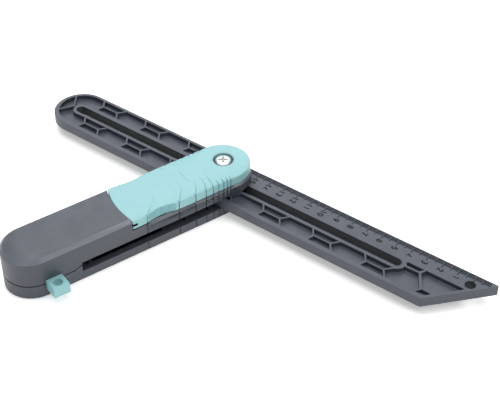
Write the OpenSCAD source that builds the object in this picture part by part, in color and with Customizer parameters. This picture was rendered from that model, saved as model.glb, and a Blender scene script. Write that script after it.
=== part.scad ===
// Sliding bevel: a two-shell handle with a slit, a slotted rule blade that swings
// and slides in it, a swing lever that clamps the blade, and a pull-out lug at the butt.
// Millimetres. The pivot axis is Z, the underside of the handle is Z = 0,
// +X runs from the butt to the pivot end and +Y is the far side of the handle.

/* [Handle] */
// Width over both side walls
handle_w = 33.6; // [32.8:0.1:36]
// Pivot axis to the end of the butt
butt_len = 146.8; // [142:0.2:165]
// Height of the butt above the underside
handle_h = 28.4; // [27.6:0.1:30]
// Fall of the butt's top from its middle to its edge
crown = 1.2; // [0.4:0.1:1.5]
// Width of the slanted edge round the top of the butt
edge_w = 2.0; // [1:0.1:2.4]
// Height of that slanted edge
edge_h = 2.2; // [1:0.1:2.6]
// Height of the shelf that carries the lever
shelf_z = 19.6; // [19:0.1:20]
// Chamfer round the edge of that shelf
shelf_chamfer = 1.6; // [0.6:0.1:2]
// Height of the joint line between the two shells at the butt
parting_z = 8.9; // [8.4:0.1:9.4]
// Rise of the joint line beside the closed end of the slit
parting_rise = 1.7; // [0.8:0.1:2.4]
// Height of the shadow gap along the joint line
shadow_gap = 0.75; // [0.3:0.05:0.9]
// Chamfer round the underside
foot_chamfer = 0.6; // [0.3:0.1:1.2]
// Outer wall thickness inside the butt
wall = 2.8; // [2:0.1:3.2]

/* [Slit] */
// Floor of the slit above the underside
slit_z0 = 6.15; // [6:0.05:6.3]
// Roof of the slit above the underside
slit_z1 = 12.8; // [12.7:0.05:13.2]
// Pivot axis to the closed end of the slit
slit_len = 107.3; // [100:0.1:107.4]

/* [Blade] */
// Width of the blade
blade_w = 34.8; // [33:0.1:36]
// Thickness of the blade
blade_t = 6.1; // [5.6:0.05:6.1]
// Underside of the blade above the underside of the handle
blade_z = 6.45; // [6.45:0.05:6.5]
// Scale reading that lies on the pivot axis
pivot_at = 165.6; // [60:0.1:265]
// Angle between the handle and the tip half of the blade
blade_angle = 72.3; // [30:0.1:125]
// Scale zero to the sharp corner of the slanted tip
tip_over = 14.3; // [12:0.1:16]
// Scale zero to where the slanted tip meets the plain edge
tip_back = 16.2; // [14:0.1:18]
// Radius of the rounded corner at the plain edge
tip_r = 2; // [0.5:0.1:3]
// Scale reading at the centre of the round end
round_at = 283.2; // [282.2:0.5:286]
// Radius of the slot
slot_r = 3.15; // [3:0.05:3.3]
// Width of the small ledge at the foot of the slot's walls
slot_ledge = 0.4; // [0:0.05:0.45]
// Scale reading where the slot begins, at its end radius centre
slot_from = 42.2; // [41.6:0.1:43]
// Radius of the marking hole
mark_r = 3.1; // [2.5:0.05:3.4]
// Marking hole below the scale edge
mark_v = 8.7; // [8:0.1:9.4]
// Width of the ribs in the pockets
rib_w = 1.1; // [0.8:0.05:1.4]
// Depth of the pockets from the top face
pocket_top = 3.0; // [1:0.1:3.2]
// Depth of the pockets from the underside
pocket_bottom = 1.4; // [0.6:0.1:1.6]
// Scale reading where the ruled band ends and the second row of pockets starts
band_to = 170; // [165:1:178]

/* [Lever] */
// Width of the lever
lever_w = 34.0; // [33:0.1:34.6]
// Underside of the lever
lever_z = 19.95; // [19.9:0.05:20.1]
// Top of the straight side of the lever
lever_side_z = 25.4; // [25:0.1:25.8]
// Highest point of the lever
lever_top_z = 27.5; // [26.5:0.1:28]
// Pivot axis to the centre of the lever's nose
nose_x = 0.9; // [0:0.1:1.5]
// Radius of the curved end
arc_r = 45; // [44:0.1:46]
// Pivot axis to the centre of that curve, towards the butt
arc_x = 30; // [29.5:0.1:30.5]
// Side offset of the centre of that curve, towards the lug
arc_y = 4; // [3:0.5:5]
// Gap between the curved end and the butt
arc_gap = 0.6; // [0.5:0.05:0.8]
// Radius of the screw recess
recess_r = 6.2; // [5.9:0.1:6.6]
// Floor of the screw recess
recess_z = 24.1; // [23.6:0.05:24.3]
// Radius of the thumb scoops
scoop_r = 30; // [24:0.5:40]
// Depth of the thumb scoops at half height
scoop_depth = 1.85; // [1:0.05:2.4]
// Pivot axis to the middle of the thumb scoops
scoop_x = 54; // [50:0.5:56]

/* [Grip grooves] */
// Width of the grooves
groove_w = 0.7; // [0.4:0.05:0.9]
// Depth of the grooves
groove_d = 0.6; // [0.2:0.05:0.7]

/* [Lug] */
// Width and height of the lug
lug_w = 10; // [9:0.1:10]
// Underside of the lug
lug_z0 = 5.05; // [4.9:0.05:5.2]
// Top of the lug
lug_z1 = 11.5; // [11:0.05:11.5]
// How far the lug stands out of the handle
lug_out = 9.4; // [8:0.1:9.6]
// Radius of the hole in the lug
lug_hole_r = 2.75; // [1.5:0.05:3]

/* [Fixings] */
// Shank radius of the pivot screw
screw_r = 2.5; // [2.3:0.05:2.5]
// Running clearance round the pivot screw
run_gap = 0.08; // [0.04:0.01:0.09]
// Head radius of the pivot screw
head_r = 5; // [4.4:0.1:5.2]

/* [Hidden] */
$fn = 96;
eps = 0.01;
hw = handle_w / 2;
butt_x = -(butt_len - hw);
groove_x = [-63.9, -42.2, -30.8, -23.5, -18.4, -14.6, -11.1, -8.4, -6.1];
shell_rgb = [0.17, 0.18, 0.20];
blade_rgb = [0.15, 0.16, 0.18];
teal_rgb = [0.42, 0.74, 0.77];
steel_rgb = [0.75, 0.75, 0.74];
disc_t = 1.15;
disc_r = 12.8;
lower_disc_z0 = slit_z0 - disc_t + 0.15;
upper_disc_z0 = slit_z1 - 0.15;
nut_z0 = 1.3;
nut_z1 = 5.1;
lug_x = -125.2;
lug_y0 = -hw - lug_out;
lug_y1 = 1.5;
screw_xy = [[-139.5, 0], [-112.3, 10], [-112.3, -10]];
step_x0 = -111.8;
step_x1 = -107.8;
gap_depth = 1.7;
ring_in = 4.2;
ring_out = 11.8;
arm = 4 / 5.5;
arm_low = 0.3;
near_y = -9.6;
near_h = 4.6;
far_y = 10.9;
far_h = 4.7;
cell = 35.85;
near_a = 56.5;
far_a = 58.6;
node_len = 11.8;
slot_rim = 5.4;

// Box between two corners.
module box(a, b) {
    translate(a) cube([b[0] - a[0], b[1] - a[1], b[2] - a[2]]);
}

// Upright disc on the pivot axis or elsewhere.
module rod(r, z0, z1, x = 0, y = 0) {
    translate([x, y, z0]) cylinder(r = r, h = z1 - z0);
}

// Round-ended plate between two points on the X axis.
module stadium(x0, x1, r, z0, z1) {
    rod(r, z0, z1, x0);
    rod(r, z0, z1, x1);
    box([x0, -r, z0], [x1, r, z1]);
}

// Polygon in Y and Z drawn out along X.
module prism_x(pts, x0, x1) {
    translate([x0, 0, 0]) rotate([90, 0, 90]) linear_extrude(height = x1 - x0) polygon(pts);
}

// The same round-ended plate with its top or bottom edge chamfered.
module chamfered(x0, x1, r, z0, z1, c, up = true) {
    ra = up ? r : r - c;
    rb = up ? r - c : r;
    for (x = [x0, x1]) translate([x, 0, z0]) cylinder(r1 = ra, r2 = rb, h = z1 - z0);
    prism_x([[-ra, z0], [ra, z0], [rb, z1], [-rb, z1]], x0, x1);
}

// Upright grip grooves cut in both side walls.
module grip_grooves(w, z0, z1) {
    for (x = groove_x, s = [-1, 1])
        box([x - groove_w / 2, s * w - groove_d, z0], [x + groove_w / 2, s * w + groove_d, z1]);
}

// Screw bosses that join the shells.
module bosses(z0, z1, r) {
    for (p = screw_xy) rod(r, z0, z1, p[0], p[1]);
}

module upper_shell() {
    color(shell_rgb) difference() {
        union() {
            stadium(butt_x, 0, hw, parting_z, shelf_z - shelf_chamfer);
            chamfered(butt_x, 0, hw, shelf_z - shelf_chamfer, shelf_z, shelf_chamfer);
            difference() {
                union() {
                    translate([butt_x, 0, 0]) rotate_extrude() polygon(butt_profile());
                    prism_x(both_sides(butt_profile()), butt_x, -62);
                }
                rod(arc_r + arc_gap, shelf_z, handle_h + 1, -arc_x, -arc_y);
            }
            // Rib that runs in the groove of the lever's curved end.
            intersection() {
                difference() {
                    rod(arc_r + arc_gap + 0.3, 23.05, 23.75, -arc_x, -arc_y);
                    rod(arc_r - 1.5, 23, 23.8, -arc_x, -arc_y);
                }
                box([-80, -12, 20], [-60, 9, 26]);
            }
        }
        // Slit roof and the step of the joint line beside its closed end.
        box([-slit_len, -hw - 1, parting_z - 1], [hw + 1, hw + 1, slit_z1]);
        prism_y([[step_x0, parting_z - 1], [step_x0, parting_z], [step_x1, parting_z + parting_rise],
                 [-slit_len + eps, parting_z + parting_rise], [-slit_len + eps, parting_z - 1]],
                -hw - 1, hw + 1);
        // Shadow gap along the joint line.
        difference() {
            prism_y([[-butt_len - 1, parting_z - 1], [-butt_len - 1, parting_z + shadow_gap],
                     [step_x0, parting_z + shadow_gap], [step_x1, parting_z + parting_rise + shadow_gap],
                     [-slit_len + eps, parting_z + parting_rise + shadow_gap],
                     [-slit_len + eps, parting_z - 1]], -hw - 1, hw + 1);
            stadium(butt_x, -70, hw - gap_depth, parting_z - 2, parting_z + 4);
        }
        // Hollow of the butt, with screw bosses and the channel of the lug left standing.
        difference() {
            union() {
                rod(hw - wall, parting_z - 1, handle_h - wall, butt_x);
                box([butt_x, -hw + wall, parting_z - 1], [-109.4, hw - wall, handle_h - wall]);
            }
            bosses(parting_z - 2, handle_h, 3.2);
            box([lug_x - lug_w / 2 - 1.8, -hw, parting_z - 2],
                [lug_x + lug_w / 2 + 1.8, 12.5, 14]);
        }
        box([lug_x - lug_w / 2 - 0.2, -hw - 1, parting_z - 1],
            [lug_x + lug_w / 2 + 0.2, 11.5, lug_z1 + 0.25]);
        // Seat of the lug spring.
        box([lug_x - 1.4, -4.2, lug_z1], [lug_x + 1.4, 11.5, lug_z1 + 1.6]);
        for (p = screw_xy) rod(1.55, parting_z - 2, 18, p[0], p[1]);
        // Cored pockets over the slit.
        for (i = [0:2], s = [-1, 1])
            box([-103 + i * 9.4, s * 7 - 5.6, slit_z1 - 1], [-95.4 + i * 9.4, s * 7 + 5.6, 24.5]);
        for (i = [0:4], s = [-1, 1])
            box([-70 + i * 10.6, s * 7 - 5.6, slit_z1 - 1], [-61.4 + i * 10.6, s * 7 + 5.6, 17.4]);
        // Pivot bore and the two seats round it.
        rod(screw_r + 0.2, 8, 21);
        rod(disc_r + 0.1, slit_z1 - 1, slit_z1 + disc_t - 0.15);
        rod(ring_out + 0.1, shelf_z - 1.6, shelf_z + 1);
        for (a = [0:120:240]) rotate([0, 0, a])
            box([ring_out - 0.6, -1.6, shelf_z - 1.6], [ring_out + 1.6, 1.6, shelf_z + 1]);
        grip_grooves(hw, 5, shelf_z + 1);
    }
}

// Polygon in X and Z drawn out along Y.
module prism_y(pts, y0, y1) {
    translate([0, y1, 0]) rotate([90, 0, 0]) linear_extrude(height = y1 - y0) polygon(pts);
}

module lower_shell() {
    color(shell_rgb) difference() {
        union() {
            chamfered(butt_x, 0, hw, 0, foot_chamfer, foot_chamfer, false);
            stadium(butt_x, 0, hw, foot_chamfer, slit_z0);
            rod(hw, foot_chamfer, parting_z, butt_x);
            box([butt_x, -hw, foot_chamfer], [-slit_len, hw, parting_z]);
            prism_y([[step_x0, parting_z - 1], [step_x0, parting_z],
                     [step_x1, parting_z + parting_rise - 0.1],
                     [-slit_len, parting_z + parting_rise - 0.1], [-slit_len, parting_z - 1]],
                    -hw, hw);
        }
        // Hollow of the butt.
        difference() {
            union() {
                rod(hw - wall, 2.4, parting_z + 1, butt_x);
                box([butt_x, -hw + wall, 2.4], [-109.4, hw - wall, parting_z + 3]);
            }
            bosses(2, parting_z, 4.2);
            box([lug_x - lug_w / 2 - 1.8, -hw, 2], [lug_x + lug_w / 2 + 1.8, 12.5, parting_z]);
        }
        box([lug_x - lug_w / 2 - 0.2, -hw - 1, lug_z0 - 0.2],
            [lug_x + lug_w / 2 + 0.2, 11.5, parting_z + 1]);
        for (p = screw_xy) {
            rod(1.7, -1, parting_z + 4, p[0], p[1]);
            rod(3.2, -1, 3.2, p[0], p[1]);
        }
        // Shallow cored pockets in the floor of the slit.
        for (s = [-1, 1]) {
            box([-105, s * 7 - 5.6, slit_z0 - 1.5], [-100.6, s * 7 + 5.6, slit_z0 + 1]);
            for (i = [0:4])
                box([-98.6 + i * 16.3, s * 7 - 5.6, slit_z0 - 1.5],
                    [-84.3 + i * 16.3, s * 7 + 5.6, slit_z0 + 1]);
        }
        // Seat of the friction disc, hexagon pocket of the nut and room for the screw's end.
        rod(disc_r + 0.1, lower_disc_z0, slit_z0 + 1);
        translate([0, 0, nut_z0]) cylinder(r = 4.66, h = 6, $fn = 6);
        grip_grooves(hw, -1, slit_z0 + 1);
    }
}

// Half of an upright profile joined with its mirror image.
function both_sides(half) = concat(half, [for (i = [len(half) - 1:-1:0]) [-half[i][0], half[i][1]]]);

// End view of half the butt: straight side, slanted edge, crowned top.
function butt_profile() = let (z = handle_h - crown) [
    [0, parting_z], [hw, parting_z], [hw, z - edge_h], [hw - edge_w, z],
    [hw - 6, z + crown * 0.62], [hw - 9, z + crown * 0.83], [0, handle_h]];

// End view of half the lever: straight side, tight edge, crowned top.
function lever_profile(w) = [
    [0, lever_z], [w, lever_z], [w, lever_side_z], [w - 0.35, lever_side_z + 0.45],
    [w - 1.2, lever_side_z + 0.8], [w - 2.6, lever_side_z + 1.1], [w - 6, lever_top_z - 0.45],
    [w - 9, lever_top_z - 0.2], [0, lever_top_z]];

module clamp_lever() {
    w = lever_w / 2;
    color(teal_rgb) difference() {
        intersection() {
            union() {
                translate([-nose_x, 0, 0]) rotate_extrude() polygon(lever_profile(w));
                prism_x(both_sides(lever_profile(w)), -85, -nose_x);
            }
            union() {
                rod(arc_r, 10, 40, -arc_x, -arc_y);
                box([-40, -20, 10], [25, 20, 40]);
            }
        }
        // Groove in the curved end for the rib of the butt.
        difference() {
            box([-90, -20, 22.9], [-62, 20, 23.9]);
            rod(arc_r - 2.2, 20, 26, -arc_x, -arc_y);
        }
        // Thumb scoops, deeper towards the top.
        for (s = [-1, 1]) translate([-scoop_x, s * (w + scoop_r - scoop_depth), 23.2])
            rotate([s * 6.5, 0, 0]) rod(scoop_r, -9, 9);
        // Screw recess with an eased rim, and the bore.
        rod(recess_r, recess_z, 30);
        translate([0, 0, lever_top_z - 0.6]) cylinder(r1 = recess_r, r2 = recess_r + 0.7, h = 0.7);
        rod(screw_r + run_gap, 18, 30);
        // Annular room for the ramps and cored pockets under the lever.
        difference() {
            rod(ring_out + 0.4, 18, 21.2);
            rod(ring_in - 0.4, 17, 22);
            ramps(20.55, 21.3, 60, 34);
        }
        for (i = [0:3])
            box([-66.5 + i * 13.2, -10.8, 18], [-54.9 + i * 13.2, 10.8, 24.6]);
        grip_grooves(w, 18, lever_side_z + 1);
    }
}

// Three clamping ramps, drawn as flat pads, on a ring round the pivot.
module ramps(z0, z1, start, span) {
    for (a = [0:120:240]) rotate([0, 0, a + start]) intersection() {
        difference() {
            rod(ring_out, z0, z1);
            rod(ring_in, z0 - 1, z1 + 1);
        }
        intersection() {
            rotate([0, 0, -span]) box([0, 0, z0 - 1], [20, 20, z1 + 1]);
            rotate([0, 0, span - 90]) box([0, 0, z0 - 1], [20, 20, z1 + 1]);
        }
    }
}

module ramp_ring() {
    color([0.82, 0.81, 0.78]) difference() {
        union() {
            rod(ring_out, shelf_z - 1.6, shelf_z);
            ramps(shelf_z - 0.5, shelf_z + 0.7, 0, 30);
            for (a = [0:120:240]) rotate([0, 0, a])
                box([ring_out - 1, -1.45, shelf_z - 1.6], [ring_out + 1.4, 1.45, shelf_z]);
        }
        rod(ring_in, 10, 30);
    }
}

module pivot_screw() {
    z = recess_z + 0.9;
    color(steel_rgb) difference() {
        union() {
            rotate_extrude() polygon([[0, z], [head_r, z], [head_r, z + 1.0], [head_r - 0.35, z + 1.75],
                [head_r - 1.2, z + 2.35], [head_r - 2.4, z + 2.7], [0, z + 2.85]]);
            rod(screw_r, nut_z0 + 0.6, z + eps);
            translate([0, 0, nut_z0 + 0.1]) cylinder(r1 = screw_r - 0.5, r2 = screw_r, h = 0.5);
        }
        for (a = [0, 90]) rotate([0, 0, a + 20]) {
            box([-2.3, -0.5, z + 1.1], [2.3, 0.5, z + 4]);
            box([-1.5, -0.75, z + 1.7], [1.5, 0.75, z + 4]);
        }
    }
}

module screw_washer() {
    color(steel_rgb) difference() {
        rod(5.6, recess_z + 0.1, recess_z + 0.9);
        rod(screw_r, recess_z - 1, recess_z + 2);
    }
}

module clamp_nut() {
    color(steel_rgb) difference() {
        translate([0, 0, nut_z0]) cylinder(r = 4.6, h = nut_z1 - nut_z0, $fn = 6);
        rod(screw_r, 0, 10);
    }
}

module slot_guide() {
    r = slot_r - run_gap;
    color(steel_rgb) rotate([0, 0, -blade_angle]) difference() {
        stadium(-2.9, 2.9, r, blade_z + 1.4, blade_z + blade_t - 0.15);
        rod(screw_r + run_gap, 0, 20);
    }
}

module friction_disc(z0) {
    color([0.09, 0.09, 0.10]) difference() {
        rod(disc_r, z0, z0 + disc_t);
        rod(screw_r + 0.2, z0 - 1, z0 + disc_t + 1);
    }
}

module upper_disc() {
    friction_disc(upper_disc_z0);
}

module lower_disc() {
    friction_disc(lower_disc_z0);
}

// Long six-sided pocket between two rib junctions, in scale coordinates.
function long_cell(a, b, h) = let (s = rib_w * 0.62) [
    [a + s, 0], [a + s + arm * h, h], [b - s - arm * h, h], [b - s, 0],
    [b - s - arm * h, -h], [a + s + arm_low * h, -h]];

// Short four-sided pocket above the rib that joins two junctions.
function short_cell(b, a, h, q) = let (s = rib_w * 0.62, y = rib_w / 2) [
    [b + s - arm * y, y], [b + s - arm * h, h], [a - s + q * h, h], [a - s + q * y, y]];

// Point list of an arc about a point on the blade's long axis or beside it.
function arc_pts(c, r, a0, a1, n) = [for (i = [0:n]) let (t = a0 + (a1 - a0) * i / n)
    [c[0] + r * cos(t), c[1] + r * sin(t)]];

// One row of pockets: long cells from junction k0 on, short cells up to the last junction.
module pocket_row(a0, y, h, k0) {
    translate([0, y]) {
        for (k = [k0:5]) polygon(long_cell(a0 + k * cell, a0 + (k + 1) * cell - node_len, h));
        for (k = [k0:6], s = [-1, 1]) scale([1, s])
            polygon(short_cell(a0 + k * cell - node_len, a0 + k * cell, h, s > 0 ? arm : arm_low));
    }
}

// All pocket outlines of the blade; x is the scale reading, y runs to the scale edge.
module pockets(z0, z1) {
    near_6 = near_a + 6 * cell + 0.7;
    far_6 = far_a + 6 * cell + 0.7;
    far_4 = far_a + 4 * cell - node_len;
    c = [round_at, 0];
    // The outer ends of the round pockets follow a circle that leaves the plain edge thicker.
    o = [round_at, (far_y + far_h + near_y - near_h) / 2];
    q = (far_y + far_h - near_y + near_h) / 2;
    translate([0, 0, z0]) linear_extrude(height = z1 - z0) {
        pocket_row(near_a, near_y, near_h, 0);
        pocket_row(far_a, far_y, far_h, 4);
        polygon([[band_to + 1, far_y + far_h], [band_to + 1, far_y - far_h],
                 [far_4 - 0.7 - arm * far_h, far_y - far_h], [far_4 - 0.7, far_y],
                 [far_4 - 0.7 - arm * far_h, far_y + far_h]]);
        // Pockets that follow the round end, parted by two slanted ribs.
        polygon(concat([[near_6, near_y], [near_6 + arm * near_h, near_y + near_h]],
                       arc_pts(c, slot_rim, -90, -4, 8), [c + [6.1, -0.1]],
                       arc_pts(o, q, -39, -90, 8), [[near_6 + arm_low * near_h, near_y - near_h]]));
        polygon(concat([c + [7.2, 0.3]], arc_pts(o, q, -34.5, 29.7, 9)));
        polygon(concat([[far_6, far_y], [far_6 + arm_low * far_h, far_y - far_h]],
                       arc_pts(c, slot_rim, 90, 6, 8), [c + [6.2, 0.8]],
                       arc_pts(o, q, 34.2, 90, 8), [[far_6 + arm * far_h, far_y + far_h]]));
        // Pockets of the tip.
        polygon(concat([[near_a - node_len - 0.7, near_y + 0.1]],
                       arc_pts([slot_from, 0], slot_rim + 0.2, 252, 185, 6),
                       [[27.6, -0.2], [21.2, -10.3], [22.6, near_y - near_h],
                        [near_a - node_len - 0.7 - arm * near_h, near_y - near_h]]));
        polygon([[19.6, -10.4], [13.6, -10.6], [16, -13.5], [21.6, -13.9]]);
        polygon([[37.4, 3], [36.8, 3.8], [26.3, 3.8], [28.2, 1], [35.9, 1]]);
        polygon([[26.2, 0.5], [25, 3.9], [1, 3.9], [2.4, 1.7], [13.6, -9.8], [19.9, -9.1]]);
    }
}

// Outline of the blade, with the corner at the plain edge rounded.
module blade_plan() {
    w = blade_w / 2;
    run = tip_back + tip_over;
    nx = blade_w / norm([run, blade_w]);
    ny = run / norm([run, blade_w]);
    cx = tip_back + tip_r * (1 - ny) / nx;
    polygon([[-tip_over, w], [cx - tip_r * nx, -w + tip_r - tip_r * ny], [cx, -w + tip_r],
             [cx, -w], [round_at, -w], [round_at, w]]);
    translate([cx, -w + tip_r]) circle(r = tip_r);
    translate([round_at, 0]) circle(r = w);
}

module blade() {
    top = blade_z + blade_t;
    color(blade_rgb) rotate([0, 0, -blade_angle]) translate([pivot_at, 0, 0]) mirror([1, 0, 0])
    difference() {
        translate([0, 0, blade_z]) linear_extrude(height = blade_t) blade_plan();
        stadium(slot_from, round_at, slot_r, blade_z + 1.2, top + 1);
        stadium(slot_from, round_at, slot_r - slot_ledge, blade_z - 1, top);
        rod(mark_r, blade_z - 1, top + 1, 0, blade_w / 2 - mark_v);
        pockets(top - pocket_top, top + 1);
        pockets(blade_z - 1, blade_z + pocket_bottom);
    }
}

module lug() {
    color(teal_rgb) difference() {
        box([lug_x - lug_w / 2, lug_y0, lug_z0], [lug_x + lug_w / 2, lug_y1, lug_z1]);
        rod(lug_hole_r, 0, 20, lug_x, lug_y0 + 4.6);
        box([lug_x - 1.7, -13.9, lug_z1 - 0.9], [lug_x + 1.7, -1.0, lug_z1 + 1]);
    }
}

module lug_spring() {
    z = lug_z1 + 1.2;
    color(steel_rgb) union() {
        box([lug_x - 1.2, -4, z], [lug_x + 1.2, 11.3, z + 0.4]);
        prism_x([[-4, z + 0.2], [-2.6, lug_z1 - 0.6], [-2.0, lug_z1 - 0.6], [-0.6, z + 0.2],
                 [-1.1, z + 0.2], [-2.3, lug_z1 - 0.15], [-3.5, z + 0.2]], lug_x - 1.2, lug_x + 1.2);
    }
}

module shell_screws() {
    color(steel_rgb) for (p = screw_xy) translate([p[0], p[1], 0]) difference() {
        union() {
            rod(2.9, 1.2, 3.2);
            rod(1.5, 3.2 - eps, 17);
        }
        for (a = [0, 90]) rotate([0, 0, a]) box([-1.7, -0.4, 0], [1.7, 0.4, 2.4]);
    }
}

upper_shell();
lower_shell();
clamp_lever();
ramp_ring();
pivot_screw();
screw_washer();
clamp_nut();
slot_guide();
upper_disc();
lower_disc();
blade();
lug();
lug_spring();
shell_screws();
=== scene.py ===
from math import sin, cos, tan, pi, radians, degrees, atan2, hypot, sqrt
import bpy, bmesh
import numpy as np
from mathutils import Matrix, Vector
from mathutils.geometry import delaunay_2d_cdt


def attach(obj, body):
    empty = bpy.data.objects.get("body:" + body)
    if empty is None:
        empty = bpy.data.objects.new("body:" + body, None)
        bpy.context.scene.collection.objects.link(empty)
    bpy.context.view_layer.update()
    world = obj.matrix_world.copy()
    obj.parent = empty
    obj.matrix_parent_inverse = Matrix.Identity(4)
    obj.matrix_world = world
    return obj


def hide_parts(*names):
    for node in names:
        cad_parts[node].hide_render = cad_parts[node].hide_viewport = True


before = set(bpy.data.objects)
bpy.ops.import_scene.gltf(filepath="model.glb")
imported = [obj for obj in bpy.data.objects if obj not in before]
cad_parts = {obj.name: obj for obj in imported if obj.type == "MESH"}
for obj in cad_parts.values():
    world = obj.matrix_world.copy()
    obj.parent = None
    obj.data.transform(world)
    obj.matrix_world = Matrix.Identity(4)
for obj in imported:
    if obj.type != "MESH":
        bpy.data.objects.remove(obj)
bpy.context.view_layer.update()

MM = 0.001
scene = bpy.context.scene

# ---------------------------------------------------------------- camera
AZIMUTH, DIP = radians(35.14), radians(40.12)
LOOK = Vector((sin(AZIMUTH) * cos(DIP), cos(AZIMUTH) * cos(DIP), -sin(DIP)))
cam_data = bpy.data.cameras.new("view")
cam_data.lens = 89.35
cam_data.sensor_width = 36
cam_data.clip_end = 20
cam = bpy.data.objects.new("view", cam_data)
cam.location = (-0.3235, -0.4876, 0.4881)
cam.rotation_euler = LOOK.to_track_quat("-Z", "Y").to_euler()
scene.collection.objects.link(cam)
scene.camera = cam


# ---------------------------------------------------------------- planar relief meshes
def circle(cx, cy, r, n=64, a0=0.0, a1=360.0):
    """Points round a circle, or along an arc when the two angles say so."""
    full = abs(a1 - a0) >= 360
    return [(cx + r * cos(radians(a0 + (a1 - a0) * i / n)), cy + r * sin(radians(a0 + (a1 - a0) * i / n)))
            for i in range(n if full else n + 1)]


def inside(loop, p):
    """Even-odd test of many points against one closed loop."""
    a = np.array(loop, float)
    b = np.roll(a, -1, axis=0)
    hit = np.zeros(len(p), bool)
    lo, hi = a.min(0), a.max(0)
    near = np.nonzero(((p >= lo) & (p <= hi)).all(1))[0]
    if len(near) == 0:
        return hit
    q = p[near]
    part = np.zeros(len(q), bool)
    for (x0, y0), (x1, y1) in zip(a, b):
        if y0 == y1:
            continue
        cross = ((q[:, 1] >= min(y0, y1)) & (q[:, 1] < max(y0, y1))
                 & (q[:, 0] < x0 + (q[:, 1] - y0) * (x1 - x0) / (y1 - y0)))
        part ^= cross
    hit[near] = part
    return hit


def distance(loops, p):
    """Distance of many points to the nearest edge of the closed loops."""
    best = np.full(len(p), 1e9)
    for loop in loops:
        a = np.array(loop, float)
        for (x0, y0), (x1, y1) in zip(a, np.roll(a, -1, axis=0)):
            ex, ey = x1 - x0, y1 - y0
            l2 = ex * ex + ey * ey
            if l2 < 1e-12:
                continue
            t = np.clip(((p[:, 0] - x0) * ex + (p[:, 1] - y0) * ey) / l2, 0, 1)
            best = np.minimum(best, np.hypot(p[:, 0] - x0 - t * ex, p[:, 1] - y0 - t * ey))
    return best


def offset(loop, d):
    """Closed loop moved outwards by d (inwards when negative). A sharp corner's mitre stops at 1.6 d."""
    a = np.array(loop, float)
    area = np.sum(a[:, 0] * np.roll(a[:, 1], -1) - np.roll(a[:, 0], -1) * a[:, 1])
    if area < 0:
        a = a[::-1]
    out = []
    n = len(a)
    for i in range(n):
        e0, e1 = a[i] - a[i - 1], a[(i + 1) % n] - a[i]
        n0 = np.array((e0[1], -e0[0])) / np.hypot(*e0)
        n1 = np.array((e1[1], -e1[0])) / np.hypot(*e1)
        m = n0 + n1
        m2 = m @ m
        step = m * (2 / m2) if m2 > 0.7 else m * (1.6 / sqrt(m2 + 1e-9))
        out.append(tuple(a[i] + step * d))
    return out


def plan(loops, lines=(), points=()):
    """Triangles of the plane in which every edge of the loops and lines is kept."""
    verts, edges = [], []
    for group, closed in ((loops, True), (lines, False)):
        for loop in group:
            k = len(verts)
            verts += [Vector(q) for q in loop]
            n = len(loop)
            edges += [(k + i, k + (i + 1) % n) for i in range(n if closed else n - 1)]
    verts += [Vector(q) for q in points]
    co, _, faces, *_ = delaunay_2d_cdt(verts, edges, [], 0, 1e-4)
    return np.array([tuple(c) for c in co]), [tuple(f) for f in faces]


def relief(name, co, faces, region, top, bottom, place, steps=None, tint=None, step_tint=0):
    """Solid between two stepped height fields over a planar map.

    region: one number for each triangle, 0 where there is nothing.
    top, bottom: {region: (level key, heights of all the map's points)}; regions with one key share points.
    steps: {map point: [(dx, dy, z), ...]} puts extra rows in the outer wall, from the top down.
    tint: {region: material index}; a wall takes the index of the lower side.
    step_tint: material index of the recessed rows in the outer wall.
    """
    bm = bmesh.new()
    made = {}

    def vert(i, side, table, reg):
        key, z = table[reg]
        k = (i, side, key)
        if k not in made:
            made[k] = bm.verts.new(place(co[i][0], co[i][1], z[i]))
        return made[k]

    def face(vs, index):
        vs = [v for n, v in enumerate(vs) if v not in vs[:n]]
        if len(vs) < 3:
            return
        if bm.faces.get(vs) is None:
            bm.faces.new(vs).material_index = index

    tint, steps = tint or {}, steps or {}
    sides = {}
    for f, r in zip(faces, region):
        if r:
            face([vert(i, "t", top, r) for i in f], tint.get(r, 0))
            face([vert(i, "b", bottom, r) for i in reversed(f)], 0)
        for i in range(3):
            sides.setdefault(frozenset((f[i], f[i - 1])), []).append((r, f[i - 1], f[i]))
    rows = {}
    for both in sides.values():
        pair = [s for s in both if s[0]]
        if len(both) == 2 and len(pair) == 2:
            (ra, i, j), (rb, _, _) = both
            for side, table in (("t", top), ("b", bottom)):
                if table[ra][0] != table[rb][0]:
                    low = ra if table[ra][1][i] < table[rb][1][i] else rb
                    face([vert(i, side, table, ra), vert(j, side, table, ra),
                          vert(j, side, table, rb), vert(i, side, table, rb)],
                         tint.get(low, 0) if side == "t" else 0)
        elif pair:
            r, i, j = pair[0]
            column = []
            for k in (i, j):
                if k not in rows:
                    rows[k] = [bm.verts.new(place(co[k][0] + s[0], co[k][1] + s[1], s[2]))
                               for s in steps.get(k, [])]
                column.append([vert(k, "t", top, r)] + rows[k] + [vert(k, "b", bottom, r)])
            a, b = column
            if len(a) != len(b):
                longer, shorter = (a, b) if len(a) > len(b) else (b, a)
                face([shorter[0]] + longer + [shorter[1]], 0)
            else:
                for n in range(len(a) - 1):
                    face([a[n], b[n], b[n + 1], a[n + 1]], step_tint if 0 < n < len(a) - 2 else 0)
    bmesh.ops.recalc_face_normals(bm, faces=bm.faces)
    me = bpy.data.meshes.new(name)
    bm.to_mesh(me)
    bm.free()
    ob = bpy.data.objects.new(name, me)
    scene.collection.objects.link(ob)
    return ob


def soft_shade(ob, sharp_from):
    """Smooth shading that keeps the flats flat and lets edges below that angle turn."""
    ob.data.shade_smooth()
    ob.data.set_sharp_from_angle(angle=radians(sharp_from))
    m = ob.modifiers.new("normals", "WEIGHTED_NORMAL")
    m.keep_sharp = True
    m.weight = 80
    return ob


def world_mm(x, y, z):
    """Millimetres in the CAD frame to metres."""
    return (x * MM, y * MM, z * MM)


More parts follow.
